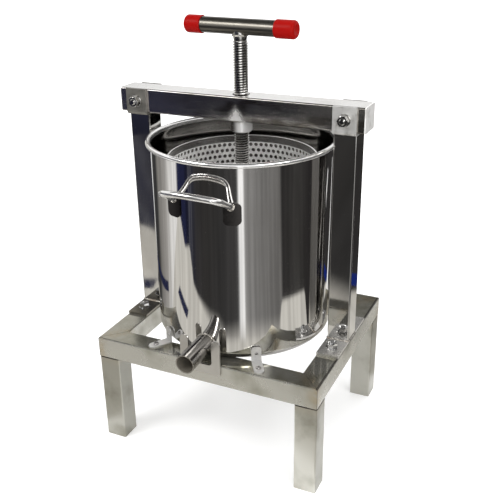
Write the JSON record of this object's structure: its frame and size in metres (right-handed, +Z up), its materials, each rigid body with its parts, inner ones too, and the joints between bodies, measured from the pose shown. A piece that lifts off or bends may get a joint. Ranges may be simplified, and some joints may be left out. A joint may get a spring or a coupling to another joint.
{
  "type": "fruit press",
  "caption": "Bench fruit press: a square-tube stand with a bridge holds a pot with spout and perforated basket; a T-bar screw in the beam drives a round press plate.",
  "frame": {"origin": "on the floor, midway along the width and along the whole depth from the spout's end to the back handle; the screw's axis stands 9.6 mm behind it", "axes": "+Z up along the screw, +X to the right, the spout points to -Y"},
  "size_m": [0.428, 0.4232, 0.7218],
  "materials": {
    "satin_steel": "satin ground stainless steel",
    "polished_steel": "mirror polished stainless steel",
    "bright_fasteners": "bright plated steel",
    "red_vinyl": "soft semi-gloss vinyl"
  },
  "bodies": {
    "frame": {"back_handle": "polished_steel", "back_handle_pads": "polished_steel", "back_left_leg": "satin_steel", "back_rail": "polished_steel", "back_right_leg": "satin_steel", "base_bolts": "bright_fasteners", "base_nuts": "bright_fasteners", "base_washers": "bright_fasteners", "basket_floor": "satin_steel", "basket_hoop": "polished_steel", "basket_wall": "polished_steel", "clip_screws": "bright_fasteners", "crossbeam": "polished_steel", "front_handle": "polished_steel", "front_handle_pads": "polished_steel", "front_left_leg": "satin_steel", "front_rail": "polished_steel", "front_right_leg": "satin_steel", "left_base_plate": "satin_steel", "left_beam_end_plate": "satin_steel", "left_post": "polished_steel", "left_rail": "polished_steel", "left_saddle": "satin_steel", "leg_end_plates": "satin_steel", "pot": "polished_steel", "pot_clips": "bright_fasteners", "right_base_plate": "satin_steel", "right_beam_end_plate": "satin_steel", "right_post": "polished_steel", "right_rail": "polished_steel", "right_saddle": "satin_steel", "saddle_bolts": "bright_fasteners", "saddle_nuts": "bright_fasteners", "saddle_washers": "bright_fasteners", "screw_nut": "satin_steel", "spout": "satin_steel", "spout_fork": "satin_steel"},
    "plate": {"press_plate": "satin_steel", "plate_hub": "satin_steel", "hub_set_screws": "bright_fasteners"},
    "screw": {"press_screw": "polished_steel", "turning_bar": "polished_steel", "left_grip_cap": "red_vinyl", "right_grip_cap": "red_vinyl"}
  },
  "joints": [
    {"name": "press_slide", "type": "slide", "parent": "frame", "child": "plate", "axis": [0, 0, 1], "range_m": [-0.0905, 0.1925]},
    {"name": "screw_turn", "type": "hinge", "parent": "plate", "child": "screw", "pos_m": [0, 0.00964, 0.5], "axis": [0, 0, 1], "range_deg": [-8100, 17280]}
  ],
  "couplings": [
    {"joint": "press_slide", "follows": "screw_turn", "m_per_rad": 0.00063662}
  ]
}
